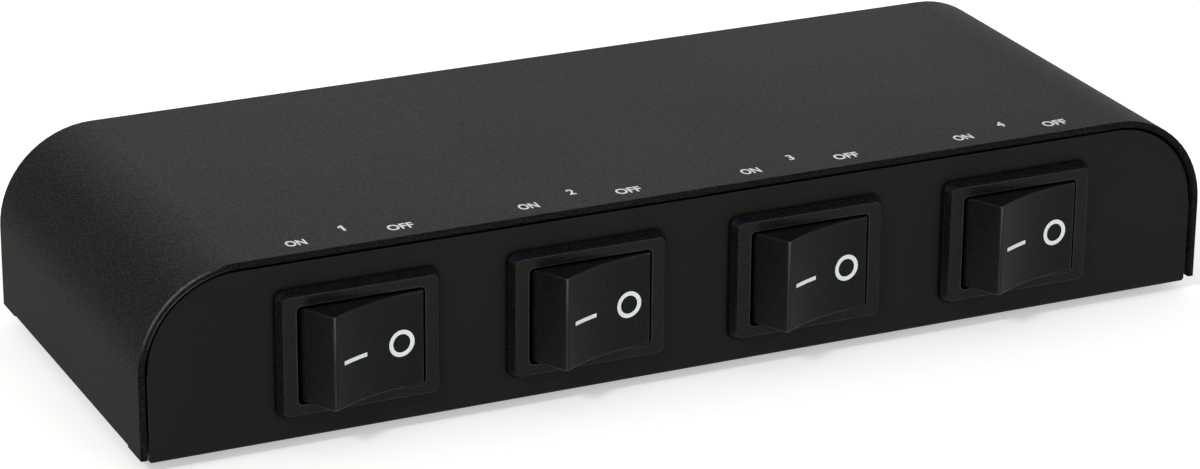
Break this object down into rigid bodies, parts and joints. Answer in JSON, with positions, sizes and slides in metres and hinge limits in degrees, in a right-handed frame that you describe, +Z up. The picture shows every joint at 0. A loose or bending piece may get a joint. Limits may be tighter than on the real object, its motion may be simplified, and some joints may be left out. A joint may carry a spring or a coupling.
{
  "type": "speaker selector switch",
  "caption": "Low steel box with round shoulders and a row of rocker switches across its front; spring terminals on its back send one amplifier to several speaker pairs.",
  "frame": {"origin": "on the surface it stands on, under the middle of the cover", "axes": "+X to the right along the front, +Y from the switches to the terminals at the back, +Z up"},
  "size_m": [0.23, 0.1015, 0.0404],
  "materials": {
    "cover_coating": "fine textured powder coat",
    "chassis_paint": "satin paint",
    "foot_rubber": "matt",
    "screw_steel": "zinc plated",
    "nut_steel": "zinc plated",
    "housing_nylon": "satin moulded",
    "rocker_nylon": "satin moulded",
    "plunger_plastic": "natural",
    "spring_steel": "drawn wire",
    "contact_metal": "plated",
    "tab_metal": "tin plated",
    "clip_metal": "nickel plated",
    "block_plastic": "satin moulded",
    "lever_red": "semi-gloss",
    "lever_black": "semi-gloss",
    "lead_insulation": "extruded",
    "feed_copper": "tinned copper",
    "negative_insulation": "extruded"
  },
  "bodies": {
    "box": {"cover": "cover_coating", "chassis": "chassis_paint", "rubber_feet": "foot_rubber", "cover_screws": "screw_steel", "terminal_screws": "screw_steel", "terminal_nuts": "nut_steel", "clip_contacts": "clip_metal", "hookup_wires": "lead_insulation", "feed_bus_wires": "feed_copper", "negative_bus_wires": "negative_insulation", "switch_1_housing": "housing_nylon", "switch_1_terminals": "tab_metal", "switch_2_housing": "housing_nylon", "switch_2_terminals": "tab_metal", "switch_3_housing": "housing_nylon", "switch_3_terminals": "tab_metal", "switch_4_housing": "housing_nylon", "switch_4_terminals": "tab_metal", "terminal_housing_input": "block_plastic", "terminal_housing_pair_1": "block_plastic", "terminal_housing_pair_2": "block_plastic", "terminal_housing_pair_3": "block_plastic", "terminal_housing_pair_4": "block_plastic"},
    "rocker_1_moving": {"rocker_1": "rocker_nylon", "plungers_1": "plunger_plastic", "plunger_springs_1": "spring_steel"},
    "rocking_contacts_1_moving": {"rocking_contacts_1": "contact_metal"},
    "rocker_2_moving": {"rocker_2": "rocker_nylon", "plungers_2": "plunger_plastic", "plunger_springs_2": "spring_steel"},
    "rocking_contacts_2_moving": {"rocking_contacts_2": "contact_metal"},
    "rocker_3_moving": {"rocker_3": "rocker_nylon", "plungers_3": "plunger_plastic", "plunger_springs_3": "spring_steel"},
    "rocking_contacts_3_moving": {"rocking_contacts_3": "contact_metal"},
    "rocker_4_moving": {"rocker_4": "rocker_nylon", "plungers_4": "plunger_plastic", "plunger_springs_4": "spring_steel"},
    "rocking_contacts_4_moving": {"rocking_contacts_4": "contact_metal"},
    "lever_input_left_plus_moving": {"lever_input_left_plus": "lever_red"},
    "lever_input_left_minus_moving": {"lever_input_left_minus": "lever_black"},
    "lever_input_right_plus_moving": {"lever_input_right_plus": "lever_red"},
    "lever_input_right_minus_moving": {"lever_input_right_minus": "lever_black"},
    "lever_pair_1_left_plus_moving": {"lever_pair_1_left_plus": "lever_red"},
    "lever_pair_1_left_minus_moving": {"lever_pair_1_left_minus": "lever_black"},
    "lever_pair_1_right_plus_moving": {"lever_pair_1_right_plus": "lever_red"},
    "lever_pair_1_right_minus_moving": {"lever_pair_1_right_minus": "lever_black"},
    "lever_pair_2_left_plus_moving": {"lever_pair_2_left_plus": "lever_red"},
    "lever_pair_2_left_minus_moving": {"lever_pair_2_left_minus": "lever_black"},
    "lever_pair_2_right_plus_moving": {"lever_pair_2_right_plus": "lever_red"},
    "lever_pair_2_right_minus_moving": {"lever_pair_2_right_minus": "lever_black"},
    "lever_pair_3_left_plus_moving": {"lever_pair_3_left_plus": "lever_red"},
    "lever_pair_3_left_minus_moving": {"lever_pair_3_left_minus": "lever_black"},
    "lever_pair_3_right_plus_moving": {"lever_pair_3_right_plus": "lever_red"},
    "lever_pair_3_right_minus_moving": {"lever_pair_3_right_minus": "lever_black"},
    "lever_pair_4_left_plus_moving": {"lever_pair_4_left_plus": "lever_red"},
    "lever_pair_4_left_minus_moving": {"lever_pair_4_left_minus": "lever_black"},
    "lever_pair_4_right_plus_moving": {"lever_pair_4_right_plus": "lever_red"},
    "lever_pair_4_right_minus_moving": {"lever_pair_4_right_minus": "lever_black"}
  },
  "joints": [
    {"name": "rocker_1_press", "type": "hinge", "parent": "box", "child": "rocker_1_moving", "pos_m": [-0.07125, -0.04045, 0.0205], "axis": [0, 0, -1], "range_deg": [0, 33]},
    {"name": "rocking_contacts_1_tip", "type": "hinge", "parent": "box", "child": "rocking_contacts_1_moving", "pos_m": [-0.07125, -0.03383, 0.0205], "axis": [0, 0, 1], "range_deg": [0, 20.01]},
    {"name": "rocker_2_press", "type": "hinge", "parent": "box", "child": "rocker_2_moving", "pos_m": [-0.02375, -0.04045, 0.0205], "axis": [0, 0, -1], "range_deg": [0, 33]},
    {"name": "rocking_contacts_2_tip", "type": "hinge", "parent": "box", "child": "rocking_contacts_2_moving", "pos_m": [-0.02375, -0.03383, 0.0205], "axis": [0, 0, 1], "range_deg": [0, 20.01]},
    {"name": "rocker_3_press", "type": "hinge", "parent": "box", "child": "rocker_3_moving", "pos_m": [0.02375, -0.04045, 0.0205], "axis": [0, 0, -1], "range_deg": [0, 33]},
    {"name": "rocking_contacts_3_tip", "type": "hinge", "parent": "box", "child": "rocking_contacts_3_moving", "pos_m": [0.02375, -0.03383, 0.0205], "axis": [0, 0, 1], "range_deg": [0, 20.01]},
    {"name": "rocker_4_press", "type": "hinge", "parent": "box", "child": "rocker_4_moving", "pos_m": [0.07125, -0.04045, 0.0205], "axis": [0, 0, -1], "range_deg": [0, 33]},
    {"name": "rocking_contacts_4_tip", "type": "hinge", "parent": "box", "child": "rocking_contacts_4_moving", "pos_m": [0.07125, -0.03383, 0.0205], "axis": [0, 0, 1], "range_deg": [0, 20.01]},
    {"name": "lever_input_left_plus_press", "type": "hinge", "parent": "box", "child": "lever_input_left_plus_moving", "pos_m": [-0.0896, 0.03785, 0.03068], "axis": [-1, 0, 0], "range_deg": [0, 16], "stiffness_Nm_per_rad": 0.03, "springref_deg": -8.59},
    {"name": "lever_input_left_minus_press", "type": "hinge", "parent": "box", "child": "lever_input_left_minus_moving", "pos_m": [-0.0896, 0.03785, 0.0179], "axis": [-1, 0, 0], "range_deg": [0, 16], "stiffness_Nm_per_rad": 0.03, "springref_deg": -8.59},
    {"name": "lever_input_right_plus_press", "type": "hinge", "parent": "box", "child": "lever_input_right_plus_moving", "pos_m": [-0.0784, 0.03785, 0.03068], "axis": [-1, 0, 0], "range_deg": [0, 16], "stiffness_Nm_per_rad": 0.03, "springref_deg": -8.59},
    {"name": "lever_input_right_minus_press", "type": "hinge", "parent": "box", "child": "lever_input_right_minus_moving", "pos_m": [-0.0784, 0.03785, 0.0179], "axis": [-1, 0, 0], "range_deg": [0, 16], "stiffness_Nm_per_rad": 0.03, "springref_deg": -8.59},
    {"name": "lever_pair_1_left_plus_press", "type": "hinge", "parent": "box", "child": "lever_pair_1_left_plus_moving", "pos_m": [-0.0476, 0.03785, 0.03068], "axis": [-1, 0, 0], "range_deg": [0, 16], "stiffness_Nm_per_rad": 0.03, "springref_deg": -8.59},
    {"name": "lever_pair_1_left_minus_press", "type": "hinge", "parent": "box", "child": "lever_pair_1_left_minus_moving", "pos_m": [-0.0476, 0.03785, 0.0179], "axis": [-1, 0, 0], "range_deg": [0, 16], "stiffness_Nm_per_rad": 0.03, "springref_deg": -8.59},
    {"name": "lever_pair_1_right_plus_press", "type": "hinge", "parent": "box", "child": "lever_pair_1_right_plus_moving", "pos_m": [-0.0364, 0.03785, 0.03068], "axis": [-1, 0, 0], "range_deg": [0, 16], "stiffness_Nm_per_rad": 0.03, "springref_deg": -8.59},
    {"name": "lever_pair_1_right_minus_press", "type": "hinge", "parent": "box", "child": "lever_pair_1_right_minus_moving", "pos_m": [-0.0364, 0.03785, 0.0179], "axis": [-1, 0, 0], "range_deg": [0, 16], "stiffness_Nm_per_rad": 0.03, "springref_deg": -8.59},
    {"name": "lever_pair_2_left_plus_press", "type": "hinge", "parent": "box", "child": "lever_pair_2_left_plus_moving", "pos_m": [-0.0056, 0.03785, 0.03068], "axis": [-1, 0, 0], "range_deg": [0, 16], "stiffness_Nm_per_rad": 0.03, "springref_deg": -8.59},
    {"name": "lever_pair_2_left_minus_press", "type": "hinge", "parent": "box", "child": "lever_pair_2_left_minus_moving", "pos_m": [-0.0056, 0.03785, 0.0179], "axis": [-1, 0, 0], "range_deg": [0, 16], "stiffness_Nm_per_rad": 0.03, "springref_deg": -8.59},
    {"name": "lever_pair_2_right_plus_press", "type": "hinge", "parent": "box", "child": "lever_pair_2_right_plus_moving", "pos_m": [0.0056, 0.03785, 0.03068], "axis": [-1, 0, 0], "range_deg": [0, 16], "stiffness_Nm_per_rad": 0.03, "springref_deg": -8.59},
    {"name": "lever_pair_2_right_minus_press", "type": "hinge", "parent": "box", "child": "lever_pair_2_right_minus_moving", "pos_m": [0.0056, 0.03785, 0.0179], "axis": [-1, 0, 0], "range_deg": [0, 16], "stiffness_Nm_per_rad": 0.03, "springref_deg": -8.59},
    {"name": "lever_pair_3_left_plus_press", "type": "hinge", "parent": "box", "child": "lever_pair_3_left_plus_moving", "pos_m": [0.0364, 0.03785, 0.03068], "axis": [-1, 0, 0], "range_deg": [0, 16], "stiffness_Nm_per_rad": 0.03, "springref_deg": -8.59},
    {"name": "lever_pair_3_left_minus_press", "type": "hinge", "parent": "box", "child": "lever_pair_3_left_minus_moving", "pos_m": [0.0364, 0.03785, 0.0179], "axis": [-1, 0, 0], "range_deg": [0, 16], "stiffness_Nm_per_rad": 0.03, "springref_deg": -8.59},
    {"name": "lever_pair_3_right_plus_press", "type": "hinge", "parent": "box", "child": "lever_pair_3_right_plus_moving", "pos_m": [0.0476, 0.03785, 0.03068], "axis": [-1, 0, 0], "range_deg": [0, 16], "stiffness_Nm_per_rad": 0.03, "springref_deg": -8.59},
    {"name": "lever_pair_3_right_minus_press", "type": "hinge", "parent": "box", "child": "lever_pair_3_right_minus_moving", "pos_m": [0.0476, 0.03785, 0.0179], "axis": [-1, 0, 0], "range_deg": [0, 16], "stiffness_Nm_per_rad": 0.03, "springref_deg": -8.59},
    {"name": "lever_pair_4_left_plus_press", "type": "hinge", "parent": "box", "child": "lever_pair_4_left_plus_moving", "pos_m": [0.0784, 0.03785, 0.03068], "axis": [-1, 0, 0], "range_deg": [0, 16], "stiffness_Nm_per_rad": 0.03, "springref_deg": -8.59},
    {"name": "lever_pair_4_left_minus_press", "type": "hinge", "parent": "box", "child": "lever_pair_4_left_minus_moving", "pos_m": [0.0784, 0.03785, 0.0179], "axis": [-1, 0, 0], "range_deg": [0, 16], "stiffness_Nm_per_rad": 0.03, "springref_deg": -8.59},
    {"name": "lever_pair_4_right_plus_press", "type": "hinge", "parent": "box", "child": "lever_pair_4_right_plus_moving", "pos_m": [0.0896, 0.03785, 0.03068], "axis": [-1, 0, 0], "range_deg": [0, 16], "stiffness_Nm_per_rad": 0.03, "springref_deg": -8.59},
    {"name": "lever_pair_4_right_minus_press", "type": "hinge", "parent": "box", "child": "lever_pair_4_right_minus_moving", "pos_m": [0.0896, 0.03785, 0.0179], "axis": [-1, 0, 0], "range_deg": [0, 16], "stiffness_Nm_per_rad": 0.03, "springref_deg": -8.59}
  ],
  "couplings": [
    {"joint": "rocking_contacts_1_tip", "follows": "rocker_1_press", "ratio": 0.60606},
    {"joint": "rocking_contacts_2_tip", "follows": "rocker_2_press", "ratio": 0.60606},
    {"joint": "rocking_contacts_3_tip", "follows": "rocker_3_press", "ratio": 0.60606},
    {"joint": "rocking_contacts_4_tip", "follows": "rocker_4_press", "ratio": 0.60606}
  ]
}
